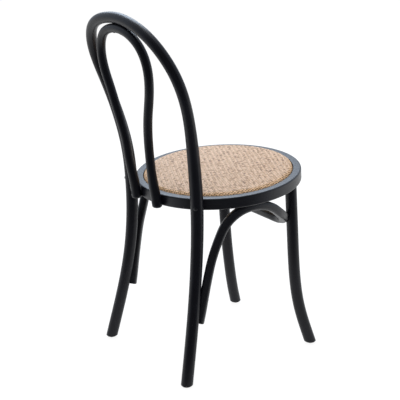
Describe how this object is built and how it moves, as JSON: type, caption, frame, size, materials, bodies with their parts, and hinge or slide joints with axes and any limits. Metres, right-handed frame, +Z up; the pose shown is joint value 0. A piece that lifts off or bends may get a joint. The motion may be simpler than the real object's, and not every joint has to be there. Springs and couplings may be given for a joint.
{
  "type": "bentwood bistro chair",
  "caption": "Bentwood bistro chair with a round woven-rattan seat pad, hoop back with inner loop, splayed legs and an arched brace under the seat.",
  "frame": {"origin": "on the floor, at the middle of the chair's outline seen from above", "axes": "+Z up from the floor, -Y towards the front of the seat, +X to the sitter's left"},
  "size_m": [0.41, 0.4944, 0.8731],
  "materials": {
    "black_wood": "satin black lacquer over steam-bent beech",
    "plywood": "raw plywood",
    "foam": "open-cell foam",
    "woven_rattan": "closely woven natural rattan",
    "black_steel": "black oxide",
    "zinc_steel": "zinc plated",
    "glide_plastic": "moulded black nylon"
  },
  "bodies": {
    "root": {"back_frame": "black_wood", "inner_loop": "black_wood", "seat_ring": "black_wood", "front_leg_left": "black_wood", "front_leg_right": "black_wood", "brace": "black_wood", "seat_board": "plywood", "seat_foam": "foam", "rattan_cover": "woven_rattan", "rear_leg_bolts": "black_steel", "rear_leg_washers": "zinc_steel", "rear_leg_nuts": "zinc_steel", "loop_end_screws": "black_steel", "loop_top_screws": "black_steel", "brace_rear_screws": "black_steel", "brace_ring_screws": "black_steel", "brace_front_screws": "black_steel", "seat_board_screws": "zinc_steel", "glide_front_left": "glide_plastic", "glide_front_right": "glide_plastic", "glide_rear_left": "glide_plastic", "glide_rear_right": "glide_plastic", "glide_nails": "zinc_steel"}
  },
  "joints": []
}
